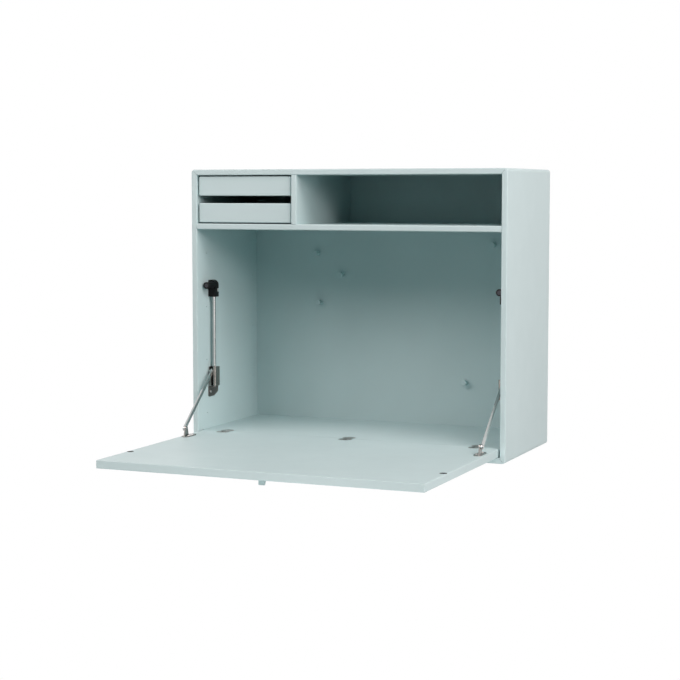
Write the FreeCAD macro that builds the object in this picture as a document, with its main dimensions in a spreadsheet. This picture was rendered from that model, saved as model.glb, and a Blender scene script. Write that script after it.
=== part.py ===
import FreeCAD, Part
import math
import os
import Sketcher

# A wall desk whose writing flap folds down out of a shallow cabinet.
# Frame: +X right, +Y to the wall, +Z up. The origin is midway between the two wall
# screw holes, in the plane of the wall. Sizes are millimetres.

SIZES = {
    # Carcass
    "cabinet_width": 696,
    "cabinet_height": 584,
    "cabinet_depth": 300,
    "panel_thickness": 12,
    "outer_radius": 7,
    "edge_radius": 2,
    "back_thickness": 10,
    "shelf_drop": 113.5,
    "bay_width": 219,
    # Fixing to the wall
    "wall_hole_inset": 72,
    "wall_hole_drop": 39,
    "wall_hole_diameter": 6.5,
    "wall_plate_width": 60,
    "wall_plate_height": 34,
    "wall_plate_thickness": 2,
    "wall_plate_corner": 3,
    "wall_plate_screw_pitch": 42,
    # Shelf-pin and fitting holes in the side panels
    "fitting_hole_diameter": 3,
    "fitting_hole_depth": 8,
    "front_column": 42,
    "back_column": 32,
    # Pegs on the back of the desk compartment: across from the middle, and down from the
    # shelf or up from the underside
    "peg_diameter": 11.5,
    "peg_length": 15,
    "peg_rounding": 1,
    "peg_upper_left_across": -184.6,
    "peg_upper_left_drop": 59,
    "peg_inner_left_across": -124.9,
    "peg_inner_left_drop": 105.2,
    "peg_lower_left_across": -177.4,
    "peg_lower_left_rise": 290.1,
    "peg_upper_right_across": 228.6,
    "peg_upper_right_drop": 34.6,
    "peg_lower_right_across": 166.6,
    "peg_lower_right_rise": 124.6,
    # Writing flap
    "flap_thickness": 16,
    "flap_recess": 5,
    "flap_side_gap": 3,
    "flap_top_gap": 2.5,
    "flap_lift": 0.5,
    "flap_edge_radius": 1.5,
    "cove_clearance": 0.4,
    "pull_setback": 37.5,
    "pull_width": 12,
    "pull_depth": 8,
    "pull_height": 15,
    "pull_slant": 4,
    "pull_edge_radius": 1,
    # Flush hinges
    "hinge_spacing": 282,
    "cup_diameter": 28,
    "cup_depth": 12.5,
    "cup_clearance": 0.2,
    "floor_cup_reach": 19,
    "flap_cup_reach": 3,
    "hinge_arm_width": 8,
    "hinge_arm_radius": 4,
    "hinge_arm_top_gap": 0.3,
    "hinge_arm_slope": 5,
    "hinge_slot_clearance": 0.5,
    "hinge_slot_front": 8.3,
    "hinge_pin_diameter": 4,
    "hinge_pin_length": 24,
    "running_fit": 0.05,
    "press_fit": 0.01,
    # Catch at the head of each flap stay
    "catch_height": 318,
    "catch_from_side": 10.2,
    "catch_gap": 0.5,
    "strike_diameter": 14,
    "strike_thickness": 2,
    "magnet_diameter": 8.6,
    "magnet_length": 8,
    "snout_diameter": 14.4,
    "snout_length": 28.5,
    "snout_root": 2,
    "block_width": 17.5,
    "block_length": 16.5,
    "block_rise": 10.5,
    "block_drop": 25.5,
    "block_wall_rounding": 3.5,
    "block_inner_rounding": 11,
    "block_edge_rounding": 1,
    "socket_depth": 9,
    "screw_recess_height": 7.4,
    "screw_recess_length": 8,
    "screw_recess_depth": 2.4,
    "holder_screw_drop": 11.3,
    "holder_screw_inset": 4.2,
    # Guide tube and its lower bracket
    "tube_from_side": 8.9,
    "tube_from_front": 59.5,
    "tube_diameter": 8,
    "tube_wall": 1,
    "bracket_thickness": 1.5,
    "bracket_rise": 107,
    "bracket_front": 46.5,
    "bracket_length": 44.5,
    "bracket_height": 22,
    "bracket_slant_length": 18,
    "bracket_slant_height": 8,
    "bracket_corner": 4,
    "bracket_tab_front": 50,
    "bracket_tab_length": 19,
    "bracket_tab_width": 14,
    "bracket_screw_from_front": 55.2,
    "bracket_screw_drop": 11.5,
    # Screws
    "screw_head_diameter": 6.2,
    "screw_head_height": 2.2,
    "screw_crown": 1,
    "screw_diameter": 3,
    "screw_bite": 6,
    "screw_tip_gap": 0.5,
    # Slider
    "pivot_height": 132.5,
    "pivot_from_tube": 12.5,
    "slider_height": 41,
    "slider_above_pivot": 9,
    "slider_width": 17.5,
    "slider_length": 22.2,
    "slider_from_side": 1,
    "slider_wall": 1.2,
    "slider_front_overhang": 1,
    "slider_bend": 3.2,
    "slider_foot_corner": 6,
    "slider_head_corner": 3,
    "slider_slot_clearance": 0.4,
    "slider_slot_drop": 8,
    "slide_block_setback": 7,
    "slide_block_end_gap": 0.5,
    # Arm between the flap and the slider
    "foot_reach": 93,
    "foot_rise": 16.5,
    "arm_from_side": 8.15,
    "arm_thickness": 3.5,
    "arm_width": 8,
    "arm_eye_radius": 5,
    "rivet_diameter": 5,
    "rivet_head_diameter": 7,
    "rivet_head_height": 0.5,
    "rivet_inner_end": 2.6,
    # Foot on the flap
    "foot_plate_width": 16,
    "foot_plate_length": 46,
    "foot_plate_thickness": 2,
    "foot_plate_from_side": 16.5,
    "foot_plate_setback": 7,
    "ear_thickness": 3,
    "ear_gap": 0.5,
    "ear_base": 18,
    "ear_radius": 5,
    "foot_pin_diameter": 4,
    "foot_pin_head_diameter": 6.5,
    "foot_pin_head_height": 1,
    "foot_pin_head_gap": 0.2,
    "foot_pin_tail_diameter": 6,
    "foot_pin_tail_height": 0.8,
    # Drawers
    "drawer_gap": 2.5,
    "drawer_side_gap": 3,
    "drawer_setback": 5,
    "drawer_front_height": 40.5,
    "drawer_front_corner": 3,
    "drawer_board": 12,
    "drawer_rear_gap": 18,
    "drawer_side_height": 34,
    "drawer_side_lift": 2.5,
    "drawer_bottom_thickness": 4,
    "drawer_bottom_lift": 3.5,
    "drawer_bottom_inset": 4,
    "drawer_fit": 0.1,
    "runner_width": 8,
    "runner_height": 9,
    "runner_rear_gap": 10,
    "runner_start": 20,
    "runner_clearance": 0.3,
}

doc = FreeCAD.newDocument("fold_down_wall_desk")
sheet = doc.addObject("Spreadsheet::Sheet", "Size")
for row, (alias, size) in enumerate(SIZES.items(), start=1):
    sheet.set(f"A{row}", alias)
    sheet.set(f"B{row}", str(size))
    sheet.setAlias(f"B{row}", alias)
doc.recompute()

# Planes that several sub-parts share, as expressions of the sheet
HALF_WIDTH = "(Size.cabinet_width / 2)"
INNER_SIDE = "(Size.cabinet_width / 2 - Size.panel_thickness)"
LEFT_SIDE = "(Size.panel_thickness - Size.cabinet_width / 2)"
FRONT = "(-Size.cabinet_depth)"
BACK_FACE = "(-Size.back_thickness)"
TOP = "Size.wall_hole_drop"
UNDERSIDE = "(Size.wall_hole_drop - Size.cabinet_height)"
INNER_TOP = "(Size.wall_hole_drop - Size.panel_thickness)"
INNER_BOTTOM = f"({UNDERSIDE} + Size.panel_thickness)"
SHELF_TOP = "(Size.wall_hole_drop - Size.shelf_drop)"
SHELF_UNDER = f"({SHELF_TOP} - Size.panel_thickness)"
WALL_HOLE_X = f"({HALF_WIDTH} - Size.wall_hole_inset)"

# The hinge axis runs along X through the middle of the flap's thickness
HALF_FLAP = "(Size.flap_thickness / 2)"
AXIS_Y = f"({FRONT} + Size.flap_recess + {HALF_FLAP})"
AXIS_Z = f"({INNER_BOTTOM} + Size.flap_lift + {HALF_FLAP})"
FLAP_REACH = f"({SHELF_UNDER} - Size.flap_top_gap - {AXIS_Z})"
FLAP_HALF_WIDTH = f"({INNER_SIDE} - Size.flap_side_gap)"
COVE_RADIUS = f"({HALF_FLAP} * sqrt(2) + Size.cove_clearance)"
CUP_UNDER = f"({HALF_FLAP} - Size.cup_depth)"

# Guide tube, slider pivot and catch
TUBE_X = f"({LEFT_SIDE} + Size.tube_from_side)"
TUBE_Y = f"({FRONT} + Size.tube_from_front)"
TUBE_FOOT = f"({INNER_BOTTOM} + Size.bracket_rise)"
CATCH_X = f"({LEFT_SIDE} + Size.catch_from_side)"
CATCH_Y = f"({AXIS_Y} + {HALF_FLAP} + Size.catch_gap)"
CATCH_Z = f"({AXIS_Z} + Size.catch_height)"
SOCKET_UNDER = f"({CATCH_Z} - Size.block_drop)"
BLOCK_REAR = "(Size.snout_length + Size.block_length)"
BRACKET_SCREW_Y = f"({FRONT} + Size.bracket_screw_from_front)"
BRACKET_SCREW_Z = f"({TUBE_FOOT} - Size.bracket_screw_drop)"
HOLDER_SCREW_Y = f"({CATCH_Y} + {BLOCK_REAR} - Size.holder_screw_inset)"
HOLDER_SCREW_Z = f"({CATCH_Z} - Size.holder_screw_drop)"
PIVOT_Y = f"({TUBE_Y} - Size.pivot_from_tube)"
PIVOT_Z = f"({AXIS_Z} + Size.pivot_height)"
SLIDER_UNDER = f"({PIVOT_Z} + Size.slider_above_pivot - Size.slider_height)"
SLIDER_FRONT = f"({PIVOT_Y} - Size.slider_front_overhang)"
FOOT_RISE = f"({HALF_FLAP} + Size.foot_rise)"
ARM_RUN = f"({PIVOT_Y} - {AXIS_Y} + Size.foot_reach)"
ARM_CLIMB = f"(Size.pivot_height - {FOOT_RISE})"
ARM_LENGTH = f"(sqrt({ARM_RUN}^2 + {ARM_CLIMB}^2))"
ARM_FACE = "(Size.arm_from_side + Size.arm_thickness)"
EAR_FACE = f"({ARM_FACE} + Size.ear_gap)"

# Drawer bay
BAY_RIGHT = f"({LEFT_SIDE} + Size.bay_width)"
DRAWER_LEFT = f"({LEFT_SIDE} + Size.drawer_side_gap)"
DRAWER_WIDTH = "(Size.bay_width - 2 * Size.drawer_side_gap)"
DRAWER_FACE = f"({FRONT} + Size.drawer_setback)"
DRAWER_BACK_OF_FRONT = f"({DRAWER_FACE} + Size.drawer_board)"
DRAWER_LENGTH = f"({BACK_FACE} - Size.drawer_rear_gap - {DRAWER_BACK_OF_FRONT})"
LOWER_DRAWER = f"({SHELF_TOP} + Size.drawer_gap)"
UPPER_DRAWER = f"({INNER_TOP} - Size.drawer_gap - Size.drawer_front_height)"
RUNNER_MIDDLE = "(Size.drawer_side_lift + Size.drawer_side_height / 2)"

TURNS = {
    "x": FreeCAD.Rotation(FreeCAD.Vector(0, 1, 0), 90),
    "y": FreeCAD.Rotation(FreeCAD.Vector(1, 0, 0), -90),
    "z": FreeCAD.Rotation(),
}
SAME = 0.001
subparts = []


def number(expression):
    """The present value of an expression of the sheet."""
    return float(sheet.evalExpression(expression))


def place(thing, x, y, z, turn=FreeCAD.Rotation()):
    """Put the object's origin at x, y, z, and turn it about that point."""
    thing.Placement = FreeCAD.Placement(FreeCAD.Vector(), turn)
    for axis, expression in zip("xyz", (x, y, z)):
        thing.setExpression(f"Placement.Base.{axis}", expression)


def subpart(thing):
    """Count an object as a sub-part that is written to a file of its own."""
    thing.Label = thing.Name
    subparts.append(thing)
    return thing


def body(name, x, y, z, turn=FreeCAD.Rotation()):
    part = doc.addObject("PartDesign::Body", name)
    place(part, x, y, z, turn)
    return part


def origin_feature(part, role):
    return next(feature for feature in part.Origin.OriginFeatures if feature.Role == role)


def sketch(part, role, lift="0"):
    """A sketch on one of the body's origin planes, lifted along the plane's normal."""
    drawing = part.newObject("Sketcher::SketchObject", f"{part.Name}_sketch")
    drawing.AttachmentSupport = (origin_feature(part, role), [""])
    drawing.MapMode = "FlatFace"
    drawing.setExpression("AttachmentOffset.Base.z", lift)
    return drawing


def pin_point(drawing, curve, end, x, y):
    """Hold a point of a curve at x, y from the sketch's origin."""
    for kind, axis, expression in (("DistanceX", -2, x), ("DistanceY", -1, y)):
        if expression == "0":
            drawing.addConstraint(Sketcher.Constraint("PointOnObject", curve, end, axis))
            continue
        rule = Sketcher.Constraint(kind, -1, 1, curve, end, number(expression))
        index = drawing.addConstraint(rule)
        drawing.setExpression(f"Constraints[{index}]", expression)


def pin_radius(drawing, curve, expression):
    index = drawing.addConstraint(Sketcher.Constraint("Radius", curve, number(expression)))
    drawing.setExpression(f"Constraints[{index}]", expression)


def arc_through(start, end, radius):
    """The minor arc between two points that turns left."""
    chord = end - start
    half = chord.Length / 2
    side = FreeCAD.Vector(chord.y, -chord.x, 0).normalize()
    sagitta = radius - math.sqrt(max(radius**2 - half**2, 0))
    return Part.ArcOfCircle(start, start + chord * 0.5 + side * sagitta, end)


def outline(drawing, *corners):
    """A closed outline. A corner is x, y, and for an arc to the next corner its radius and
    "left" or "right", the way in which it turns. Corners run with the inside on the left."""
    first = len(drawing.Geometry)
    spots = [FreeCAD.Vector(number(corner[0]), number(corner[1]), 0) for corner in corners]
    heads, tails = [], []
    for index, corner in enumerate(corners):
        start, end = spots[index], spots[(index + 1) % len(spots)]
        turns_right = corner[-1] == "right"
        if len(corner) == 2:
            drawing.addGeometry(Part.LineSegment(start, end))
        elif turns_right:
            drawing.addGeometry(arc_through(end, start, number(corner[2])))
        else:
            drawing.addGeometry(arc_through(start, end, number(corner[2])))
        heads.append(2 if turns_right else 1)
        tails.append(1 if turns_right else 2)
    for index, corner in enumerate(corners):
        curve = first + index
        after = (index + 1) % len(corners)
        meeting = (curve, tails[index], first + after, heads[after])
        drawing.addConstraint(Sketcher.Constraint("Coincident", *meeting))
        pin_point(drawing, curve, heads[index], corner[0], corner[1])
        if len(corner) > 2:
            pin_radius(drawing, curve, corner[2])


def circle(drawing, x, y, radius):
    centre = FreeCAD.Vector(number(x), number(y), 0)
    up = FreeCAD.Vector(0, 0, 1)
    curve = drawing.addGeometry(Part.Circle(centre, up, number(radius)))
    pin_point(drawing, curve, 3, x, y)
    pin_radius(drawing, curve, radius)


def feature(part, kind, drawing, length, reverse=False, midplane=False):
    """A pad or pocket of the sketch, which becomes the body's tip."""
    made = part.newObject(f"PartDesign::{kind}", f"{part.Name}_{kind.lower()}")
    made.Profile = drawing
    made.setExpression("Length", length)
    made.Reversed = reverse
    made.Midplane = midplane
    part.Tip = made
    return made


def pad(part, drawing, length, **ways):
    return feature(part, "Pad", drawing, length, **ways)


def pocket(part, drawing, length, **ways):
    """A pocket, which must take material away."""
    doc.recompute()
    before = part.Shape.Volume
    made = feature(part, "Pocket", drawing, length, **ways)
    doc.recompute()
    if not part.Shape.Volume < before - SAME:
        raise ValueError(f"{made.Name} cuts nothing")
    return made


def revolve(part, drawing):
    """A full turn of the sketch about its horizontal axis."""
    made = part.newObject("PartDesign::Revolution", f"{part.Name}_revolution")
    made.Profile = drawing
    made.ReferenceAxis = (drawing, ["H_Axis"])
    made.Angle = 360
    part.Tip = made
    return made


def repeat(part, original, axis, length, count):
    """Copies of a feature spread evenly over a length."""
    made = part.newObject("PartDesign::LinearPattern", f"{part.Name}_pattern")
    made.Originals = [original]
    made.Direction = (origin_feature(part, axis), [""])
    made.setExpression("Length", length)
    made.Occurrences = count
    part.Tip = made
    return made


def round_edges(part, radius, wanted):
    """Round the edges of the body that the test picks."""
    doc.recompute()
    base = part.Tip
    names = [f"Edge{i}" for i, edge in enumerate(base.Shape.Edges, start=1) if wanted(edge)]
    made = part.newObject("PartDesign::Fillet", f"{part.Name}_fillet")
    made.Base = (base, names)
    made.setExpression("Radius", radius)
    part.Tip = made
    return made


def lies_at(edge, **planes):
    """True for an edge whose ends all lie in the planes given as x, y or z."""
    ends = [vertex.Point for vertex in edge.Vertexes]
    gaps = [abs(getattr(end, axis) - place) for end in ends for axis, place in planes.items()]
    return max(gaps) < SAME


def runs_along(edge, axis):
    """True for a straight edge parallel to an axis."""
    run = edge.Vertexes[-1].Point - edge.Vertexes[0].Point
    return run.Length - abs(getattr(run, axis)) < SAME


def board(name, length, width, height, x, y, z):
    """A plain board as a body, its low corner at x, y, z."""
    part = body(name, x, y, z)
    face = sketch(part, "XY_Plane")
    outline(face, ("0", "0"), (length, "0"), (length, width), ("0", width))
    pad(part, face, height)
    return part


def box(name, length, width, height, x, y, z):
    solid = doc.addObject("Part::Box", name)
    solid.setExpression("Length", length)
    solid.setExpression("Width", width)
    solid.setExpression("Height", height)
    place(solid, x, y, z)
    return solid


def cylinder(name, radius, length, x, y, z, along="z"):
    solid = doc.addObject("Part::Cylinder", name)
    solid.setExpression("Radius", radius)
    solid.setExpression("Height", length)
    place(solid, x, y, z, TURNS[along])
    return solid


def cut(name, base, tool):
    made = doc.addObject("Part::Cut", name)
    made.Base = base
    made.Tool = tool
    return made


def group(name, *pieces):
    """Separate solids that share one file."""
    made = doc.addObject("Part::Compound", name)
    made.Links = list(pieces)
    return subpart(made)


def mirror(name, source):
    """The same piece on the other side of the desk."""
    made = doc.addObject("Part::Mirroring", name)
    made.Source = source
    made.Normal = FreeCAD.Vector(1, 0, 0)
    return made


def pair(name, piece):
    """A left piece and its mirror image as two sub-parts."""
    subpart(piece)
    subpart(mirror(name.replace("_left", "_right"), piece))


# ---- Carcass ----


def mitred_panel(name, length, x, z, turn):
    """A carcass panel, outer face down in its own frame, with a mitre at each end and half
    of each rounded corner of the carcass."""
    part = body(name, x, "0", z, FreeCAD.Rotation(FreeCAD.Vector(0, 1, 0), turn))
    thickness = "Size.panel_thickness"
    radius = "Size.outer_radius"
    corner = f"({radius} * (1 - cos(45)))"
    face = sketch(part, "XZ_Plane")
    outline(
        face,
        (corner, corner, radius, "left"),
        (radius, "0"),
        (f"{length} - {radius}", "0", radius, "left"),
        (f"{length} - {corner}", corner),
        (f"{length} - {thickness}", thickness),
        (thickness, thickness),
    )
    pad(part, face, "Size.cabinet_depth")
    front = number(FRONT)

    def soft(edge):
        curved = edge.Curve.TypeId != "Part::GeomLine"
        return lies_at(edge, y=front) and (curved or runs_along(edge, "x"))

    round_edges(part, "Size.edge_radius", soft)
    return part


def blind_holes(part, lift, spots, radius, depth):
    """Round holes into the body from a plane parallel to its XY plane."""
    face = sketch(part, "XY_Plane", lift)
    for x, y in spots:
        circle(face, x, y, radius)
    return pocket(part, face, depth)


def side_panel():
    """The right side, with its columns of fitting holes and the stay's pilot holes. In its
    own frame X runs up from the underside."""
    part = mitred_panel("side_panel_right", "Size.cabinet_height", HALF_WIDTH, UNDERSIDE, -90)
    inner = "Size.panel_thickness"
    radius = "Size.fitting_hole_diameter / 2"
    depth = "Size.fitting_hole_depth"
    pitch = "((Size.cabinet_height - Size.panel_thickness) / 5)"
    start = "(Size.panel_thickness / 2)"
    front = f"{FRONT} + Size.front_column"
    column = blind_holes(part, inner, [(f"{start} + {pitch} / 2", front)], radius, depth)
    repeat(part, column, "X_Axis", f"4 * {pitch}", 5)
    doc.recompute()
    column = blind_holes(part, inner, [(f"{start} + {pitch}", "-Size.back_column")], radius, depth)
    repeat(part, column, "X_Axis", f"2 * {pitch}", 3)
    pilots = [
        (f"{BRACKET_SCREW_Z} - {UNDERSIDE}", BRACKET_SCREW_Y),
        (f"{HOLDER_SCREW_Z} - {UNDERSIDE}", HOLDER_SCREW_Y),
    ]
    blind_holes(part, inner, pilots, "Size.screw_diameter / 2", "Size.screw_bite + Size.screw_tip_gap")
    subpart(part)
    subpart(mirror("side_panel_left", part))


def carcass_panels():
    width = "Size.cabinet_width"
    subpart(mitred_panel("bottom_panel", width, f"-{HALF_WIDTH}", UNDERSIDE, 0))
    subpart(mitred_panel("top_panel", width, HALF_WIDTH, TOP, 180))
    side_panel()


def back_panel():
    """The back, with the two wall screw holes and the pilots for their plates."""
    part = body("back_panel", "0", "0", "0")
    face = sketch(part, "XZ_Plane")
    outline(
        face,
        (LEFT_SIDE, INNER_BOTTOM),
        (INNER_SIDE, INNER_BOTTOM),
        (INNER_SIDE, INNER_TOP),
        (LEFT_SIDE, INNER_TOP),
    )
    pad(part, face, "Size.back_thickness")
    holes = sketch(part, "XZ_Plane", "Size.back_thickness")
    for side in ("-", ""):
        circle(holes, f"{side}{WALL_HOLE_X}", "0", "Size.wall_hole_diameter / 2")
    pocket(part, holes, "Size.back_thickness")
    pilots = sketch(part, "XZ_Plane", "Size.back_thickness")
    for x in wall_screw_places():
        circle(pilots, x, "0", "Size.screw_diameter / 2")
    pocket(part, pilots, "Size.screw_bite + Size.screw_tip_gap")
    subpart(part)


def wall_screw_places():
    """X of the small screws on both sides of each wall screw hole."""
    step = "Size.wall_plate_screw_pitch / 2"
    return [f"{sign}({WALL_HOLE_X} {way} {step})" for sign in ("-", "") for way in ("-", "+")]


def wall_plate():
    """Steel plate in front of a wall screw hole."""
    part = body("wall_plate_left", f"-{WALL_HOLE_X}", BACK_FACE, "0")
    half = "Size.wall_plate_width / 2"
    rise = "Size.wall_plate_height / 2"
    face = sketch(part, "XZ_Plane")
    outline(face, (f"-{half}", f"-{rise}"), (half, f"-{rise}"), (half, rise), (f"-{half}", rise))
    circle(face, "0", "0", "Size.wall_hole_diameter / 2")
    for side in ("-", ""):
        step = f"{side}Size.wall_plate_screw_pitch / 2"
        circle(face, step, "0", "Size.screw_diameter / 2 + Size.press_fit")
    pad(part, face, "Size.wall_plate_thickness")
    outside = number(half)
    corner = lambda edge: runs_along(edge, "y") and abs(edge.Vertexes[0].Point.x) > outside - SAME
    round_edges(part, "Size.wall_plate_corner", corner)
    group("wall_plates", part, mirror("wall_plate_right", part))


def screw(name, x, y, z, turn, grip):
    """A pan-head screw, seated at x, y, z. It grips that much before it bites in the board.
    Its head points along X before it is turned about Z by so many degrees."""
    part = body(name, x, y, z, FreeCAD.Rotation(FreeCAD.Vector(0, 0, 1), turn))
    face = sketch(part, "XY_Plane")
    head = "Size.screw_head_diameter / 2"
    shank = "Size.screw_diameter / 2"
    tip = f"(-{grip} - Size.screw_bite)"
    outline(
        face,
        (tip, "0"),
        ("Size.screw_head_height", "0"),
        ("Size.screw_head_height", f"{head} - Size.screw_crown", "Size.screw_crown", "left"),
        ("Size.screw_head_height - Size.screw_crown", head),
        ("0", head),
        ("0", shank),
        (tip, shank),
    )
    revolve(part, face)
    return part


def middle_boards():
    inner_depth = "Size.cabinet_depth - Size.back_thickness"
    shelf = board(
        "middle_shelf",
        f"2 * {INNER_SIDE}",
        inner_depth,
        "Size.panel_thickness",
        LEFT_SIDE,
        FRONT,
        SHELF_UNDER,
    )
    round_edges(shelf, "Size.edge_radius", lambda edge: lies_at(edge, y=0) and runs_along(edge, "x"))
    subpart(shelf)
    divider = board(
        "divider",
        "Size.panel_thickness",
        inner_depth,
        f"{INNER_TOP} - {SHELF_TOP}",
        BAY_RIGHT,
        FRONT,
        SHELF_TOP,
    )
    round_edges(divider, "Size.edge_radius", lambda edge: lies_at(edge, y=0) and runs_along(edge, "z"))
    subpart(divider)


def floor_board():
    """The board behind the flap. Its front edge is a cove about the hinge axis, in which the
    flap's rear edge turns, and each hinge cup has a round pocket."""
    part = body("floor_board", LEFT_SIDE, AXIS_Y, AXIS_Z)
    low = f"({INNER_BOTTOM} - {AXIS_Z})"
    rear = f"({BACK_FACE} - {AXIS_Y})"
    face = sketch(part, "YZ_Plane")
    outline(
        face,
        (f"sqrt({COVE_RADIUS}^2 - {low}^2)", low),
        (rear, low),
        (rear, HALF_FLAP),
        (f"sqrt({COVE_RADIUS}^2 - {HALF_FLAP}^2)", HALF_FLAP, COVE_RADIUS, "right"),
    )
    pad(part, face, f"2 * {INNER_SIDE}")
    spot = (f"{INNER_SIDE} - Size.hinge_spacing", "Size.floor_cup_reach")
    radius = "Size.cup_diameter / 2 + Size.cup_clearance"
    cup = blind_holes(part, HALF_FLAP, [spot], radius, "Size.cup_depth")
    repeat(part, cup, "X_Axis", "2 * Size.hinge_spacing", 3)
    subpart(part)


def back_pegs():
    """Short pegs on the back of the desk compartment."""
    heights = {}
    for spot in ("upper_left", "inner_left", "upper_right"):
        heights[spot] = f"{SHELF_UNDER} - Size.peg_{spot}_drop"
    for spot in ("lower_left", "lower_right"):
        heights[spot] = f"{UNDERSIDE} + Size.peg_{spot}_rise"
    turn = FreeCAD.Rotation(FreeCAD.Vector(0, 0, 1), -90)
    pegs = []
    for spot, z in heights.items():
        peg = body(f"peg_{spot}", f"Size.peg_{spot}_across", BACK_FACE, z, turn)
        radius = "Size.peg_diameter / 2"
        face = sketch(peg, "XY_Plane")
        outline(
            face,
            ("0", "0"),
            ("Size.peg_length", "0"),
            ("Size.peg_length", f"{radius} - Size.peg_rounding", "Size.peg_rounding", "left"),
            ("Size.peg_length - Size.peg_rounding", radius),
            ("0", radius),
        )
        revolve(peg, face)
        pegs.append(peg)
    group("back_pegs", *pegs)


# ---- Flap and hinges ----


def flap_board():
    """The writing flap. Its rear lower edge is rounded about the hinge axis."""
    part = body("flap_board", f"-{FLAP_HALF_WIDTH}", AXIS_Y, AXIS_Z)
    face = sketch(part, "YZ_Plane")
    outline(
        face,
        (f"-{FLAP_REACH}", f"-{HALF_FLAP}"),
        ("0", f"-{HALF_FLAP}", HALF_FLAP, "left"),
        (HALF_FLAP, "0"),
        (HALF_FLAP, HALF_FLAP),
        (f"-{FLAP_REACH}", HALF_FLAP),
    )
    pad(part, face, f"2 * {FLAP_HALF_WIDTH}")
    front = -number(FLAP_REACH)
    half = number(HALF_FLAP)

    def soft(edge):
        ends = [vertex.Point.z for vertex in edge.Vertexes]
        level = max(ends) - min(ends) < SAME and abs(abs(ends[0]) - half) < SAME
        return lies_at(edge, y=front) or (level and runs_along(edge, "y"))

    round_edges(part, "Size.flap_edge_radius", soft)
    spot = (f"{FLAP_HALF_WIDTH} - Size.hinge_spacing", "-Size.flap_cup_reach")
    radius = "Size.cup_diameter / 2 + Size.cup_clearance"
    cup = blind_holes(part, HALF_FLAP, [spot], radius, "Size.cup_depth")
    repeat(part, cup, "X_Axis", "2 * Size.hinge_spacing", 3)
    places = (f"{FLAP_HALF_WIDTH} + {CATCH_X}", f"{FLAP_HALF_WIDTH} - {CATCH_X}")
    spots = [(x, "-Size.catch_height") for x in places]
    radius = "Size.strike_diameter / 2 + Size.running_fit"
    blind_holes(part, HALF_FLAP, spots, radius, "Size.strike_thickness")
    subpart(part)


def flap_pull():
    """Small block under the flap's front, slanted behind to take a fingertip."""
    front = f"{AXIS_Y} - {FLAP_REACH} + Size.pull_setback"
    part = body("flap_pull", "0", front, f"{AXIS_Z} - {HALF_FLAP}")
    face = sketch(part, "YZ_Plane")
    half = "Size.pull_depth / 2"
    outline(
        face,
        (f"-{half}", "-Size.pull_height"),
        (f"{half} - Size.pull_slant", "-Size.pull_height"),
        (half, "-Size.pull_height / 2"),
        (half, "0"),
        (f"-{half}", "0"),
    )
    pad(part, face, "Size.pull_width", midplane=True)
    round_edges(part, "Size.pull_edge_radius", lambda edge: edge.BoundBox.ZMax < -SAME)
    subpart(part)


def cup(part, reach):
    """A hinge cup, let into the board from above."""
    face = sketch(part, "XY_Plane", CUP_UNDER)
    circle(face, "0", reach, "Size.cup_diameter / 2")
    pad(part, face, "Size.cup_depth")


def hinge_places():
    return {"left": "-Size.hinge_spacing", "middle": "0", "right": "Size.hinge_spacing"}


def hinge_floor_half(side, x):
    """The cup in the floor board, hollowed by the cove, with the arm that holds the pin."""
    part = body(f"hinge_floor_half_{side}", x, AXIS_Y, AXIS_Z)
    cup(part, "Size.floor_cup_reach")
    cove = sketch(part, "YZ_Plane")
    circle(cove, "0", "0", COVE_RADIUS)
    pocket(part, cove, "Size.cup_diameter", midplane=True)
    end = "Size.hinge_arm_radius"
    top = f"{HALF_FLAP} - Size.hinge_arm_top_gap"
    root = "Size.floor_cup_reach"
    arm = sketch(part, "YZ_Plane")
    outline(
        arm,
        ("0", f"-{end}"),
        (root, f"-{end}"),
        (root, top),
        ("Size.hinge_arm_slope", top),
        ("0", end, end, "left"),
        (f"-{end}", "0", end, "left"),
    )
    pad(part, arm, "Size.hinge_arm_width", midplane=True)
    bore = sketch(part, "YZ_Plane")
    circle(bore, "0", "0", "Size.hinge_pin_diameter / 2 + Size.running_fit")
    pocket(part, bore, "2 * Size.hinge_arm_width", midplane=True)
    return part


def hinge_flap_half(side, x):
    """The cup in the flap: two cheeks beside the arm's slot carry the pin."""
    part = body(f"hinge_flap_half_{side}", x, AXIS_Y, AXIS_Z)
    cup(part, "-Size.flap_cup_reach")
    beyond = "Size.cup_diameter"
    edge = sketch(part, "YZ_Plane")
    outline(
        edge,
        ("0", f"-{HALF_FLAP}"),
        (beyond, f"-{HALF_FLAP}"),
        (beyond, f"{HALF_FLAP} + 1"),
        (HALF_FLAP, f"{HALF_FLAP} + 1"),
        (HALF_FLAP, "0", HALF_FLAP, "right"),
    )
    pocket(part, edge, "Size.cup_diameter", midplane=True)
    half = "(Size.hinge_arm_width / 2 + Size.hinge_slot_clearance)"
    slot = sketch(part, "XY_Plane", HALF_FLAP)
    outline(
        slot,
        (f"-{half}", "-Size.hinge_slot_front"),
        (half, "-Size.hinge_slot_front"),
        (half, beyond),
        (f"-{half}", beyond),
    )
    pocket(part, slot, "Size.cup_depth")
    bore = sketch(part, "YZ_Plane")
    circle(bore, "0", "0", "Size.hinge_pin_diameter / 2 + Size.press_fit")
    pocket(part, bore, "Size.cup_diameter", midplane=True)
    return part


def hinge_pin(side, x):
    """The pin, fast in the flap's half."""
    return cylinder(
        f"hinge_pin_{side}",
        "Size.hinge_pin_diameter / 2",
        "Size.hinge_pin_length",
        f"{x} - Size.hinge_pin_length / 2",
        AXIS_Y,
        AXIS_Z,
        along="x",
    )


def hinges():
    places = hinge_places().items()
    group("hinge_floor_halves", *[hinge_floor_half(side, x) for side, x in places])
    group("hinge_flap_halves", *[hinge_flap_half(side, x) for side, x in places])
    group("hinge_pins", *[hinge_pin(side, x) for side, x in places])


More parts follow.
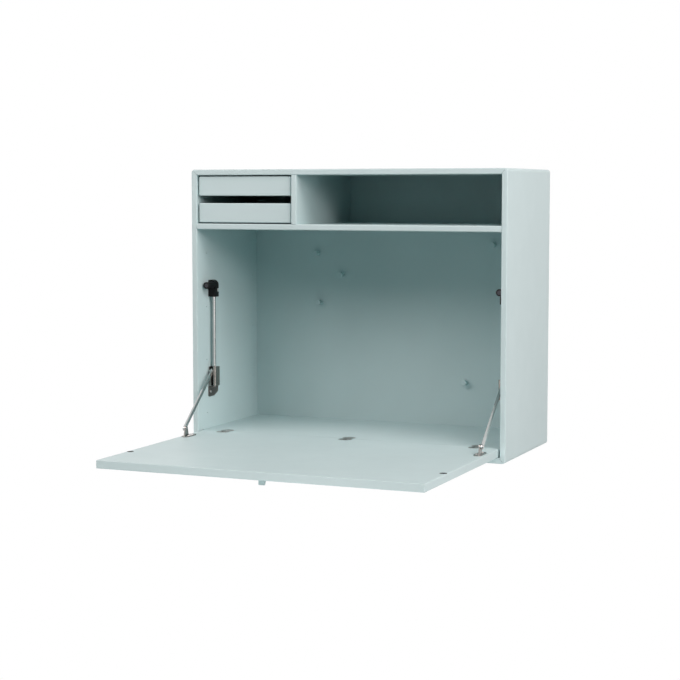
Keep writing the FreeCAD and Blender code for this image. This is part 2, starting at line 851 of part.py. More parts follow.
def catch_strikes():
    """Steel discs flush in the flap, which the magnets hold."""
    strike = cylinder(
        "catch_strike_left",
        "Size.strike_diameter / 2",
        "Size.strike_thickness",
        CATCH_X,
        f"{AXIS_Y} - Size.catch_height",
        f"{AXIS_Z} + {HALF_FLAP} - Size.strike_thickness",
    )
    group("catch_strikes", strike, mirror("catch_strike_right", strike))


# ---- Flap stays, drawn on the left and mirrored ----


def stay_tube():
    """Guide tube from the bracket's tab into the holder's socket."""
    length = f"{SOCKET_UNDER} + Size.socket_depth - {TUBE_FOOT}"
    wall = cylinder("stay_tube_outside", "Size.tube_diameter / 2", length, TUBE_X, TUBE_Y, TUBE_FOOT)
    bore = cylinder(
        "stay_tube_bore",
        "Size.tube_diameter / 2 - Size.tube_wall",
        length,
        TUBE_X,
        TUBE_Y,
        TUBE_FOOT,
    )
    pair("stay_tube_left", cut("stay_tube_left", wall, bore))


def stay_holder():
    """Moulded holder: the snout with the magnet, on an upright block with the tube's socket
    and the recess of its screw."""
    part = body("stay_holder_left", CATCH_X, CATCH_Y, CATCH_Z)
    magnet = "Size.magnet_diameter / 2 + Size.running_fit"
    snout = "Size.snout_diameter / 2"
    root = "(Size.snout_length + Size.snout_root)"
    soft = "Size.block_edge_rounding"
    side = sketch(part, "YZ_Plane")
    outline(
        side,
        ("Size.magnet_length", "0"),
        (root, "0"),
        (root, snout),
        (soft, snout, soft, "left"),
        ("0", f"{snout} - {soft}"),
        ("0", magnet),
        ("Size.magnet_length", magnet),
    )
    revolve(part, side)
    wall = "-Size.catch_from_side"
    inner = f"({wall} + Size.block_width)"
    under = "-Size.block_drop"
    crown = "Size.block_rise"
    outer_round = "Size.block_wall_rounding"
    inner_round = "Size.block_inner_rounding"
    block = sketch(part, "XZ_Plane", f"-{BLOCK_REAR}")
    outline(
        block,
        (wall, under),
        (inner, under),
        (inner, f"{crown} - {inner_round}", inner_round, "left"),
        (f"{inner} - {inner_round}", crown),
        (f"{wall} + {outer_round}", crown, outer_round, "left"),
        (wall, f"{crown} - {outer_round}"),
    )
    pad(part, block, "Size.block_length")
    rear = number(BLOCK_REAR)
    wall_side = number(wall)

    def on_rear(edge):
        return lies_at(edge, y=rear) and edge.BoundBox.XMax > wall_side + SAME

    round_edges(part, soft, on_rear)
    socket = sketch(part, "XY_Plane", under)
    across = "Size.tube_from_side - Size.catch_from_side"
    along = f"{TUBE_Y} - {CATCH_Y}"
    circle(socket, across, along, "Size.tube_diameter / 2 + Size.running_fit")
    pocket(part, socket, "Size.socket_depth", reverse=True)
    low = "(-Size.holder_screw_drop - Size.screw_recess_height / 2)"
    high = "(-Size.holder_screw_drop + Size.screw_recess_height / 2)"
    front = f"({BLOCK_REAR} - Size.screw_recess_length)"
    recess = sketch(part, "YZ_Plane", inner)
    outline(recess, (front, low), (BLOCK_REAR, low), (BLOCK_REAR, high), (front, high))
    pocket(part, recess, "Size.screw_recess_depth")
    hole = sketch(part, "YZ_Plane", inner)
    clear = "Size.screw_diameter / 2 + Size.press_fit"
    circle(hole, f"{HOLDER_SCREW_Y} - {CATCH_Y}", "-Size.holder_screw_drop", clear)
    pocket(part, hole, "Size.block_width")
    pair("stay_holder_left", part)


def catch_magnets():
    magnet = cylinder(
        "catch_magnet_left",
        "Size.magnet_diameter / 2",
        "Size.magnet_length",
        CATCH_X,
        CATCH_Y,
        CATCH_Z,
        along="y",
    )
    group("catch_magnets", magnet, mirror("catch_magnet_right", magnet))


def tube_bracket():
    """Bent plate on the side panel: the tube stands on its tab."""
    part = body("tube_bracket_left", LEFT_SIDE, FRONT, TUBE_FOOT)
    front = "Size.bracket_front"
    rear = "(Size.bracket_front + Size.bracket_length)"
    low = "-Size.bracket_height"
    plate = sketch(part, "YZ_Plane")
    outline(
        plate,
        (front, low),
        (f"{rear} - Size.bracket_slant_length", low),
        (rear, f"{low} + Size.bracket_slant_height"),
        (rear, "0"),
        (front, "0"),
    )
    circle(
        plate,
        "Size.bracket_screw_from_front",
        "-Size.bracket_screw_drop",
        "Size.screw_diameter / 2 + Size.press_fit",
    )
    pad(part, plate, "Size.bracket_thickness")
    tab_rear = "Size.bracket_tab_front + Size.bracket_tab_length"
    tab = sketch(part, "XY_Plane", "-Size.bracket_thickness")
    outline(
        tab,
        ("0", "Size.bracket_tab_front"),
        ("Size.bracket_tab_width", "Size.bracket_tab_front"),
        ("Size.bracket_tab_width", tab_rear),
        ("0", tab_rear),
    )
    pad(part, tab, "Size.bracket_thickness")
    tip = number("Size.bracket_tab_width")
    round_edges(part, "Size.edge_radius", lambda edge: lies_at(edge, x=tip) and runs_along(edge, "z"))
    bottom = number(low)
    end = number(rear)

    def low_corner(edge):
        at_end = lies_at(edge, y=end) and edge.BoundBox.ZMax < -SAME
        return runs_along(edge, "x") and (lies_at(edge, z=bottom) or at_end)

    round_edges(part, "Size.bracket_corner", low_corner)
    pair("tube_bracket_left", part)


def stay_screws():
    """Screws of the holders and of the tube brackets."""
    plate = "Size.bracket_thickness"
    floor = "(Size.block_width - Size.screw_recess_depth)"
    lower = screw(
        "bracket_screw_left", f"{LEFT_SIDE} + {plate}", BRACKET_SCREW_Y, BRACKET_SCREW_Z, 0, plate
    )
    upper = screw(
        "holder_screw_left", f"{LEFT_SIDE} + {floor}", HOLDER_SCREW_Y, HOLDER_SCREW_Z, 0, floor
    )
    mirrored = [mirror(piece.Name.replace("_left", "_right"), piece) for piece in (lower, upper)]
    group("stay_screws", lower, upper, *mirrored)


def wall_plate_screws():
    plate = "Size.wall_plate_thickness"
    seat = f"{BACK_FACE} - {plate}"
    places = enumerate(wall_screw_places(), start=1)
    names = [(f"wall_plate_screw_{count}", x) for count, x in places]
    group("wall_plate_screws", *[screw(name, x, seat, "0", -90, plate) for name, x in names])


def trim_rear_corners(part, high, foot, head):
    """Cut the lower and the upper rear corner of a slider's piece off, each in an arc."""
    deep = "Size.slider_length"
    corners = sketch(part, "YZ_Plane")
    outline(corners, (f"{deep} - {foot}", "0"), (deep, "0"), (deep, foot, foot, "right"))
    outline(corners, (deep, f"{high} - {head}"), (deep, high), (f"{deep} - {head}", high, head, "right"))
    pocket(part, corners, "Size.slider_width", reverse=True)


def slider_cover():
    """Folded steel channel round the slider's block. The arm stands in its front slot, and
    the flange beside the wall ends below the arm's rivet."""
    start = f"{LEFT_SIDE} + Size.slider_from_side"
    part = body("slider_cover_left", start, SLIDER_FRONT, SLIDER_UNDER)
    wall = "Size.slider_wall"
    wide = "Size.slider_width"
    deep = "Size.slider_length"
    bend = "Size.slider_bend"
    inner_bend = f"({bend} - {wall})"
    play = "Size.slider_slot_clearance - Size.slider_from_side"
    slot_start = "(Size.arm_from_side - Size.slider_slot_clearance - Size.slider_from_side)"
    slot_end = f"({ARM_FACE} + Size.rivet_head_height + {play})"
    section = sketch(part, "XY_Plane")
    outline(
        section,
        (bend, "0"),
        (slot_start, "0"),
        (slot_start, wall),
        (bend, wall, inner_bend, "right"),
        (wall, bend),
        (wall, f"{deep} - {bend}", inner_bend, "right"),
        (bend, f"{deep} - {wall}"),
        (f"{wide} - {bend}", f"{deep} - {wall}", inner_bend, "right"),
        (f"{wide} - {wall}", f"{deep} - {bend}"),
        (f"{wide} - {wall}", bend, inner_bend, "right"),
        (f"{wide} - {bend}", wall),
        (slot_end, wall),
        (slot_end, "0"),
        (f"{wide} - {bend}", "0", bend, "left"),
        (wide, bend),
        (wide, f"{deep} - {bend}", bend, "left"),
        (f"{wide} - {bend}", deep),
        (bend, deep, bend, "left"),
        ("0", f"{deep} - {bend}"),
        ("0", bend, bend, "left"),
    )
    high = "Size.slider_height"
    pad(part, section, high)
    trim_rear_corners(part, high, "Size.slider_foot_corner", "Size.slider_head_corner")
    open_from = f"({high} - Size.slider_above_pivot - Size.slider_slot_drop)"
    mouth = sketch(part, "XZ_Plane")
    outline(mouth, ("0", open_from), (slot_start, open_from), (slot_start, high), ("0", high))
    pocket(part, mouth, bend)
    pair("slider_cover_left", part)


def slider_block():
    """Plastic block in the channel, which slides on the guide tube."""
    start = f"{LEFT_SIDE} + Size.slider_from_side"
    gap = "Size.slide_block_end_gap"
    part = body("slider_block_left", start, SLIDER_FRONT, f"{SLIDER_UNDER} + {gap}")
    wall = "Size.slider_wall"
    front = "Size.slide_block_setback"
    right = f"(Size.slider_width - {wall})"
    rear = f"(Size.slider_length - {wall})"
    bend = f"(Size.slider_bend - {wall})"
    section = sketch(part, "XY_Plane")
    outline(
        section,
        (wall, front),
        (right, front),
        (right, f"{rear} - {bend}", bend, "left"),
        (f"{right} - {bend}", rear),
        (f"{wall} + {bend}", rear, bend, "left"),
        (wall, f"{rear} - {bend}"),
    )
    circle(
        section,
        "Size.tube_from_side - Size.slider_from_side",
        f"{TUBE_Y} - {SLIDER_FRONT}",
        "Size.tube_diameter / 2 + Size.running_fit",
    )
    high = f"(Size.slider_height - 2 * {gap})"
    pad(part, section, high)
    trim_rear_corners(part, high, "Size.slider_foot_corner", "Size.slider_head_corner")
    pair("slider_block_left", part)


def stay_arm():
    """Strap from the foot's pin to the slider's rivet. In its own frame Y runs from the
    foot's pivot to the slider's pivot."""
    lean = number(f"atan2({ARM_CLIMB}; {ARM_RUN})")
    foot_y = f"{AXIS_Y} - Size.foot_reach"
    foot_z = f"{AXIS_Z} + {FOOT_RISE}"
    near = f"{LEFT_SIDE} + Size.arm_from_side"
    part = body("stay_arm_left", near, foot_y, foot_z, FreeCAD.Rotation(FreeCAD.Vector(1, 0, 0), lean))
    half = "Size.arm_width / 2"
    strap = sketch(part, "YZ_Plane")
    outline(strap, ("0", f"-{half}"), (ARM_LENGTH, f"-{half}"), (ARM_LENGTH, half), ("0", half))
    pad(part, strap, "Size.arm_thickness")
    for reach in ("0", ARM_LENGTH):
        eye = sketch(part, "YZ_Plane")
        circle(eye, reach, "0", "Size.arm_eye_radius")
        pad(part, eye, "Size.arm_thickness")
    holes = sketch(part, "YZ_Plane")
    circle(holes, "0", "0", "Size.foot_pin_diameter / 2 + Size.running_fit")
    circle(holes, ARM_LENGTH, "0", "Size.rivet_diameter / 2 + Size.press_fit")
    pocket(part, holes, "Size.arm_thickness", reverse=True)
    pair("stay_arm_left", part)


def arm_rivet():
    """Rivet fast in the arm's upper end; it reaches into the slider's channel."""
    part = body("arm_rivet_left", LEFT_SIDE, PIVOT_Y, PIVOT_Z)
    face = sketch(part, "XY_Plane")
    shank = "Size.rivet_diameter / 2"
    head = "Size.rivet_head_diameter / 2"
    outline(
        face,
        ("Size.rivet_inner_end", "0"),
        (f"{ARM_FACE} + Size.rivet_head_height", "0"),
        (f"{ARM_FACE} + Size.rivet_head_height", head),
        (ARM_FACE, head),
        (ARM_FACE, shank),
        ("Size.rivet_inner_end", shank),
    )
    revolve(part, face)
    pair("arm_rivet_left", part)


def stay_foot():
    """Foot on the flap: an obround plate with an upright ear for the arm's pin."""
    part = body("stay_foot_left", LEFT_SIDE, AXIS_Y, AXIS_Z)
    radius = "(Size.foot_plate_width / 2)"
    middle = "Size.foot_plate_from_side"
    rear = f"(Size.foot_plate_setback + Size.foot_plate_length / 2 - {radius} - Size.foot_reach)"
    front = f"(Size.foot_plate_setback - Size.foot_plate_length / 2 + {radius} - Size.foot_reach)"
    plate = sketch(part, "XY_Plane", HALF_FLAP)
    outline(
        plate,
        (f"{middle} - {radius}", front, radius, "left"),
        (middle, f"{front} - {radius}", radius, "left"),
        (f"{middle} + {radius}", front),
        (f"{middle} + {radius}", rear, radius, "left"),
        (middle, f"{rear} + {radius}", radius, "left"),
        (f"{middle} - {radius}", rear),
    )
    pad(part, plate, "Size.foot_plate_thickness")
    half = "Size.ear_base / 2"
    tip = "Size.ear_radius"
    ear = sketch(part, "YZ_Plane", EAR_FACE)
    outline(
        ear,
        (f"-Size.foot_reach - {half}", HALF_FLAP),
        (f"-Size.foot_reach + {half}", HALF_FLAP),
        (f"-Size.foot_reach + {tip}", FOOT_RISE, tip, "left"),
        ("-Size.foot_reach", f"{FOOT_RISE} + {tip}", tip, "left"),
        (f"-Size.foot_reach - {tip}", FOOT_RISE),
    )
    pad(part, ear, "Size.ear_thickness")
    hole = sketch(part, "YZ_Plane", EAR_FACE)
    circle(hole, "-Size.foot_reach", FOOT_RISE, "Size.foot_pin_diameter / 2 + Size.press_fit")
    pocket(part, hole, "Size.ear_thickness", reverse=True)
    pair("stay_foot_left", part)


def foot_pins():
    """Pins fast in the ears, on which the arms turn."""
    foot_y = f"{AXIS_Y} - Size.foot_reach"
    foot_z = f"{AXIS_Z} + {FOOT_RISE}"
    part = body("foot_pin_left", LEFT_SIDE, foot_y, foot_z)
    head_face = "(Size.arm_from_side - Size.foot_pin_head_gap)"
    far_face = f"({EAR_FACE} + Size.ear_thickness)"
    shank = "Size.foot_pin_diameter / 2"
    head = "Size.foot_pin_head_diameter / 2"
    tail = "Size.foot_pin_tail_diameter / 2"
    face = sketch(part, "XY_Plane")
    outline(
        face,
        (f"{head_face} - Size.foot_pin_head_height", "0"),
        (f"{far_face} + Size.foot_pin_tail_height", "0"),
        (f"{far_face} + Size.foot_pin_tail_height", tail),
        (far_face, tail),
        (far_face, shank),
        (head_face, shank),
        (head_face, head),
        (f"{head_face} - Size.foot_pin_head_height", head),
    )
    revolve(part, face)
    group("foot_pins", part, mirror("foot_pin_right", part))


# ---- Drawers ----


def drawer_front(level, z):
    part = body(f"drawer_front_{level}", DRAWER_LEFT, DRAWER_BACK_OF_FRONT, z)
    wide = DRAWER_WIDTH
    high = "Size.drawer_front_height"
    face = sketch(part, "XZ_Plane")
    outline(face, ("0", "0"), (wide, "0"), (wide, high), ("0", high))
    pad(part, face, "Size.drawer_board")
    round_edges(part, "Size.drawer_front_corner", lambda edge: runs_along(edge, "y"))
    thickness = number("Size.drawer_board")
    round_edges(part, "Size.edge_radius", lambda edge: lies_at(edge, y=-thickness))
    floor_slot(part, wide)
    subpart(part)


def floor_slot(part, wide):
    """Groove in the rear of the drawer front for the drawer's bottom."""
    low = "(Size.drawer_side_lift + Size.drawer_bottom_lift - Size.drawer_fit)"
    high = f"({low} + Size.drawer_bottom_thickness + 2 * Size.drawer_fit)"
    start = "(Size.drawer_board - Size.drawer_bottom_inset)"
    slot = sketch(part, "XZ_Plane")
    end = f"({wide} - {start})"
    outline(slot, (start, low), (end, low), (end, high), (start, high))
    pocket(part, slot, "Size.drawer_bottom_inset + Size.drawer_fit", reverse=True)


def drawer_side(level, z):
    """A drawer side with the runner's groove outside and the bottom's groove inside."""
    part = body(f"drawer_side_{level}_left", DRAWER_LEFT, DRAWER_BACK_OF_FRONT, z)
    low = "Size.drawer_side_lift"
    high = f"({low} + Size.drawer_side_height)"
    thick = "Size.drawer_board"
    groove = "(Size.runner_width - Size.drawer_side_gap + Size.runner_clearance)"
    runner = "(Size.runner_height / 2 + Size.runner_clearance)"
    floor_low = f"({low} + Size.drawer_bottom_lift - Size.drawer_fit)"
    floor_high = f"({floor_low} + Size.drawer_bottom_thickness + 2 * Size.drawer_fit)"
    inset = f"({thick} - Size.drawer_bottom_inset - Size.drawer_fit)"
    section = sketch(part, "XZ_Plane")
    outline(
        section,
        ("0", low),
        (thick, low),
        (thick, floor_low),
        (inset, floor_low),
        (inset, floor_high),
        (thick, floor_high),
        (thick, high),
        ("0", high),
        ("0", f"{RUNNER_MIDDLE} + {runner}"),
        (groove, f"{RUNNER_MIDDLE} + {runner}"),
        (groove, f"{RUNNER_MIDDLE} - {runner}"),
        ("0", f"{RUNNER_MIDDLE} - {runner}"),
    )
    pad(part, section, DRAWER_LENGTH, reverse=True)
    return part


def drawer_sides(level, z):
    """Both sides: the second is the first turned end over end about the drawer's middle."""
    left = drawer_side(level, z)
    right = doc.addObject("Part::Mirroring", f"drawer_side_{level}_right")
    right.Source = left
    right.Normal = FreeCAD.Vector(1, 0, 0)
    right.setExpression("Base.x", f"{DRAWER_LEFT} + {DRAWER_WIDTH} / 2")
    group(f"drawer_sides_{level}", left, right)


def drawer_rest(level, z):
    inner = f"({DRAWER_WIDTH} - 2 * Size.drawer_board)"
    inner_left = f"{DRAWER_LEFT} + Size.drawer_board"
    bottom_z = f"({z} + Size.drawer_side_lift + Size.drawer_bottom_lift)"
    bottom_top = f"({bottom_z} + Size.drawer_bottom_thickness)"
    side_top = f"({z} + Size.drawer_side_lift + Size.drawer_side_height)"
    back = board(
        f"drawer_back_{level}",
        inner,
        "Size.drawer_board",
        f"{side_top} - {bottom_top}",
        inner_left,
        f"{BACK_FACE} - Size.drawer_rear_gap - Size.drawer_board",
        bottom_top,
    )
    subpart(back)
    inset = "Size.drawer_bottom_inset"
    bottom = board(
        f"drawer_bottom_{level}",
        f"{inner} + 2 * {inset}",
        f"{DRAWER_LENGTH} + {inset}",
        "Size.drawer_bottom_thickness",
        f"{inner_left} - {inset}",
        f"{DRAWER_BACK_OF_FRONT} - {inset}",
        bottom_z,
    )
    subpart(bottom)


def drawers():
    for level, z in (("upper", UPPER_DRAWER), ("lower", LOWER_DRAWER)):
        drawer_front(level, z)
        drawer_sides(level, z)
        drawer_rest(level, z)


def drawer_runners():
    """Strips on both sides of the bay, on which the drawers' grooves run."""
    start = f"({FRONT} + Size.runner_start)"
    strips = []
    for level, z in (("upper", UPPER_DRAWER), ("lower", LOWER_DRAWER)):
        under = f"{z} + {RUNNER_MIDDLE} - Size.runner_height / 2"
        for side, x in (("left", LEFT_SIDE), ("right", f"{BAY_RIGHT} - Size.runner_width")):
            strip = box(
                f"runner_{level}_{side}",
                "Size.runner_width",
                f"{BACK_FACE} - Size.runner_rear_gap - {start}",
                "Size.runner_height",
                x,
                start,
                under,
            )
            strips.append(strip)
    group("drawer_runners", *strips)


carcass_panels()
back_panel()
wall_plate()
wall_plate_screws()
middle_boards()
floor_board()
back_pegs()
flap_board()
flap_pull()
hinges()
catch_strikes()
stay_tube()
stay_holder()
catch_magnets()
tube_bracket()
stay_screws()
slider_cover()
slider_block()
stay_arm()
arm_rivet()
stay_foot()
foot_pins()
drawers()
drawer_runners()
doc.recompute()

for thing in doc.Objects:
    if "Invalid" in thing.State or "Error" in thing.State:
        raise ValueError(f"{thing.Name} failed: {thing.State}")
for part in subparts:
    if part.Shape.isNull() or not part.Shape.isValid():
        raise ValueError(f"{part.Label} has no valid shape")

os.makedirs("parts", exist_ok=True)
for part in subparts:
    part.Shape.exportStep(f"parts/{part.Label}.step")
print(f"{len(subparts)} sub-parts")
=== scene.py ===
from math import cos, pi, radians, sin, sqrt

import bmesh
import bpy
from mathutils import Matrix, Vector


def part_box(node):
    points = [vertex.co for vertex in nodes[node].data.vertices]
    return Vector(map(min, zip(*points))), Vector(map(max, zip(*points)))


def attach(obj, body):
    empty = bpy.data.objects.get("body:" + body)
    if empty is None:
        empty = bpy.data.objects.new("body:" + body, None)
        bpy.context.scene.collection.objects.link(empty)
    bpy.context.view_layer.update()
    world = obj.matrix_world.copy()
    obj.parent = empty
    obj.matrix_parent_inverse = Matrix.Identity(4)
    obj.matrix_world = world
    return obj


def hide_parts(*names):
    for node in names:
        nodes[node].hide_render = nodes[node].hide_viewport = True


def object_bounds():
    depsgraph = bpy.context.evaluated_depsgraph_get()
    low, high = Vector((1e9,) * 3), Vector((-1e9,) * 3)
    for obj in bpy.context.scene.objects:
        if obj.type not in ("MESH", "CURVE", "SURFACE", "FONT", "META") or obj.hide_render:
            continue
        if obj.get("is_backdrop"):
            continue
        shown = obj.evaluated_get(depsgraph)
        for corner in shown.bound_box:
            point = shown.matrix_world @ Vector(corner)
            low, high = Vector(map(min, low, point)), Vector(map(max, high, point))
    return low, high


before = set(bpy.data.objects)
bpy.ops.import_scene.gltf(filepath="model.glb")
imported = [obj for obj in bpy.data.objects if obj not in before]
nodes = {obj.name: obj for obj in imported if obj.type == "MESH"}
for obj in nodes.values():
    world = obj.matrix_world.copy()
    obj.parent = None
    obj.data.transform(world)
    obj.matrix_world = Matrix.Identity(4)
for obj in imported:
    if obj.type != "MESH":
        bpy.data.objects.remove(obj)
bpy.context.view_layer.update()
mm = 0.001
print("frame:", len(nodes), "nodes")


# Camera: stands to the right of the desk, a little above the middle
camera = {
    "place": (1.32507, -3.44148, -0.0062),
    "downward": 5.09,  # degrees
    "turn": 22.98,
    "lens": 88.49,  # mm
    "sensor": 36,  # mm
}
cameraData = bpy.data.cameras.new("camera")
cameraData.lens = camera["lens"]
cameraData.sensor_width = camera["sensor"]
cameraObject = bpy.data.objects.new("camera", cameraData)
cameraObject.location = camera["place"]
cameraObject.rotation_euler = (radians(90 - camera["downward"]), 0, radians(camera["turn"]))
bpy.context.scene.collection.objects.link(cameraObject)
bpy.context.scene.camera = cameraObject
bpy.context.scene.view_settings.view_transform = "Standard"


# Nodes for the finishes


def linearColour(code):  # sRGB hex to the linear values that a shader takes
    parts = [int(code[i:i + 2], 16) / 255 for i in (1, 3, 5)]
    return [p / 12.92 if p <= 0.04045 else ((p + 0.055) / 1.055) ** 2.4 for p in parts] + [1]


def addNode(tree, kind, inputs=(), **settings):
    node = tree.nodes.new(kind)
    for name, value in settings.items():
        setattr(node, name, value)
    for name, value in dict(inputs).items():
        if isinstance(value, bpy.types.NodeSocket):
            tree.links.new(value, node.inputs[name])
        else:
            node.inputs[name].default_value = value
    return node


def startMaterial(name, colour, roughness, metallic=0.0):
    material = bpy.data.materials.new(name)
    material.use_nodes = True
    shader = material.node_tree.nodes["Principled BSDF"]
    shader.inputs["Base Color"].default_value = linearColour(colour)
    shader.inputs["Roughness"].default_value = roughness
    shader.inputs["Metallic"].default_value = metallic
    return material, material.node_tree, shader


def softNoise(tree, spacing, detail=2, stretch=(1, 1, 1)):  # spacing in metres
    place = addNode(tree, "ShaderNodeTexCoord").outputs["Object"]
    mapping = addNode(tree, "ShaderNodeMapping", {"Vector": place, "Scale": stretch})
    settings = {"Vector": mapping.outputs[0], "Scale": 1 / spacing, "Detail": detail}
    return addNode(tree, "ShaderNodeTexNoise", settings).outputs["Fac"]


noiseLow, noiseHigh = 0.3, 0.7  # nearly all of a noise's values lie between these


def spread(tree, factor, low, high):  # turns noise into values from low to high
    settings = {"Value": factor, "From Min": noiseLow, "From Max": noiseHigh}
    settings.update({"To Min": low, "To Max": high})
    return addNode(tree, "ShaderNodeMapRange", settings).outputs["Result"]


def tint(tree, shader, factor, first, second):  # base colour that drifts between two colours
    colours = {0: factor, 6: linearColour(first), 7: linearColour(second)}  # by socket number
    mix = addNode(tree, "ShaderNodeMix", colours, data_type="RGBA")
    tree.links.new(mix.outputs[2], shader.inputs["Base Color"])


def roughen(tree, shader, height, strength, depth):  # depth in metres
    bump = addNode(tree, "ShaderNodeBump", {"Height": height, "Strength": strength, "Distance": depth})
    tree.links.new(bump.outputs["Normal"], shader.inputs["Normal"])


# Polyurethane lacquer sprayed on fibreboard and left satin: an even pale grey-green with a
# soft sheen, a trace of orange peel and slow clouds where the coat lies thicker
lacquer = {
    "thin": "#b7d1d2",
    "thick": "#b4cecf",
    "cloud": 140 * mm,
    "peel": 1.8 * mm,
    "peelDetail": 1,
    "peelDepth": 0.012 * mm,
    "peelStrength": 0.5,
    "gloss": (0.40, 0.44),
    "glossPatch": 35 * mm,
    "specular": 0.24,
}


def satinLacquer(name, look):
    material, tree, shader = startMaterial(name, look["thin"], look["gloss"][1])
    shader.inputs["Specular IOR Level"].default_value = look["specular"]
    tint(tree, shader, spread(tree, softNoise(tree, look["cloud"]), 0, 1), look["thin"], look["thick"])
    gloss = spread(tree, softNoise(tree, look["glossPatch"]), *look["gloss"])
    tree.links.new(gloss, shader.inputs["Roughness"])
    peel = softNoise(tree, look["peel"], look["peelDetail"])
    roughen(tree, shader, peel, look["peelStrength"], look["peelDepth"])
    return material


# Nylon moulded black: dull, with the fine spark texture of its mould
nylon = {
    "colour": "#08090a",
    "gloss": (0.42, 0.55),
    "grain": 0.5 * mm,
    "grainDepth": 0.02 * mm,
    "grainStrength": 0.5,
    "specular": 0.2,
}
# Black coat baked on the steel strikes: duller than the nylon, and finer in its grain
bakedBlack = {
    "colour": "#0b0c0d",
    "gloss": (0.6, 0.7),
    "grain": 0.4 * mm,
    "grainDepth": 0.01 * mm,
    "grainStrength": 0.5,
    "specular": 0.1,
}


def dullBlack(name, look):
    material, tree, shader = startMaterial(name, look["colour"], look["gloss"][1])
    shader.inputs["Specular IOR Level"].default_value = look["specular"]
    grain = softNoise(tree, look["grain"])
    tree.links.new(spread(tree, grain, *look["gloss"]), shader.inputs["Roughness"])
    roughen(tree, shader, grain, look["grainStrength"], look["grainDepth"])
    return material


metalGrain = {"detail": 3, "strength": 0.4}


def metal(name, look):
    material, tree, shader = startMaterial(name, look["colour"], look["gloss"][1], metallic=1.0)
    grain = softNoise(tree, look["grain"] * mm, metalGrain["detail"], look["stretch"])
    tree.links.new(spread(tree, grain, *look["gloss"]), shader.inputs["Roughness"])
    roughen(tree, shader, grain, metalGrain["strength"], look["depth"] * mm)
    return material


# Each metal: its colour, its roughness from polished to dull, its grain width and depth in
# millimetres, and how the grain is stretched: the smaller the number, the longer it runs
metals = {
    # Drawn and ground tube: bright, with faint lines along its length
    "drawnTube": dict(colour="#b2b5b4", gloss=(0.14, 0.24), grain=0.5, stretch=(1, 1, 0.02), depth=0.004),
    # Strip folded and nickel plated: grey and a little cloudy, rolled along its height
    "foldedNickel": dict(colour="#94908b", gloss=(0.2, 0.32), grain=0.8, stretch=(1, 1, 0.05), depth=0.006),
    # Zinc-plated plate: duller, with a fine crystal mottle
    "zincPlate": dict(colour="#7c7672", gloss=(0.36, 0.50), grain=0.9, stretch=(1, 1, 1), depth=0.008),
    # Stamped and tumbled strap: bright with blunt edges
    "tumbledSteel": dict(colour="#bcbfbe", gloss=(0.1, 0.2), grain=0.7, stretch=(1, 0.2, 0.2), depth=0.005),
    # Pressed foot, nickel plated: bright and slightly soft
    "pressedNickel": dict(colour="#949491", gloss=(0.16, 0.28), grain=0.8, stretch=(1, 1, 1), depth=0.006),
    # Die-cast zinc, nickel plated: smooth and soft
    "diecastNickel": dict(colour="#b0aeab", gloss=(0.26, 0.38), grain=1.2, stretch=(1, 1, 1), depth=0.006),
    # Turned pin: bright, with the finest grain
    "turnedSteel": dict(colour="#b9baba", gloss=(0.14, 0.24), grain=0.35, stretch=(1, 1, 1), depth=0.004),
    # Zinc-plated screw: bright with a milky film
    "screwZinc": dict(colour="#b7b8b6", gloss=(0.24, 0.36), grain=0.5, stretch=(1, 1, 1), depth=0.005),
    # Nickel-plated magnet: dark and smooth
    "magnetNickel": dict(colour="#4a494d", gloss=(0.28, 0.40), grain=0.6, stretch=(1, 1, 1), depth=0.006),
}
slotMetals = {
    "hinge_zinc": "diecastNickel",
    "pin_steel": "turnedSteel",
    "tube_steel": "drawnTube",
    "slider_steel": "foldedNickel",
    "bracket_steel": "zincPlate",
    "arm_steel": "tumbledSteel",
    "foot_steel": "pressedNickel",
    "screw_steel": "screwZinc",
    "magnet_face": "magnetNickel",
    "wall_plate_steel": "zincPlate",
}
finishes = {
    "lacquered_board": satinLacquer("satinLacquer", lacquer),
    "drawer_box": satinLacquer("satinLacquerInside", lacquer),
    "holder_plastic": dullBlack("mouldedNylon", nylon),
    "strike_steel": dullBlack("bakedBlack", bakedBlack),
}
for slot, name in slotMetals.items():
    finishes[slot] = metal(f"{name}_{slot}", metals[name])

for node in nodes.values():
    for slot in node.material_slots:
        slot.material = finishes[slot.material.name.split(".")[0]]
print("finishes:", len(finishes))


# Light: warm soft boxes stand around the desk and look at its middle. Azimuth 0 is straight in
# front and 90 to the right
studio = {
    "middle": (0, -0.25, -0.25),
    "lampColour": "#ffedec",
    "floorColour": "#d8e7e8",
    "floorRoughness": 0.8,
    "floorDrop": 0.75,  # from the writing surface down to the floor
    "floorSize": 2.4,
}
lamps = {
    "rightSharp": dict(azimuth=68, elevation=12, distance=3, size=0.4, power=18.3),
    "rightLow": dict(azimuth=84, elevation=8, distance=3, size=1.5, power=26.5),
    "rightHigh": dict(azimuth=65, elevation=45, distance=3, size=1.5, power=50.5),
    "frontRight": dict(azimuth=45, elevation=35, distance=3, size=1.5, power=24.3),
    "frontLeft": dict(azimuth=-25, elevation=35, distance=3, size=1.2, power=28.5),
    "leftHigh": dict(azimuth=-60, elevation=35, distance=3, size=1.5, power=35.5),
    "leftLow": dict(azimuth=-60, elevation=8, distance=3, size=1.5, power=9),
    "frontBelow": dict(azimuth=10, elevation=-45, distance=1.25, size=0.6, power=4.5),
    "behind": dict(azimuth=180, elevation=0, distance=3, size=0.5, power=60),
}


def addLamp(name, look):
    data = bpy.data.lights.new(name, "AREA")
    data.size = look["size"]
    data.energy = look["power"]
    data.color = linearColour(studio["lampColour"])[:3]
    lamp = bpy.data.objects.new(name, data)
    around, up = radians(look["azimuth"]), radians(look["elevation"])
    away = Vector((sin(around) * cos(up), -cos(around) * cos(up), sin(up)))
    lamp.location = Vector(studio["middle"]) + away * look["distance"]
    lamp.rotation_euler = away.to_track_quat("Z", "Y").to_euler()
    bpy.context.scene.collection.objects.link(lamp)


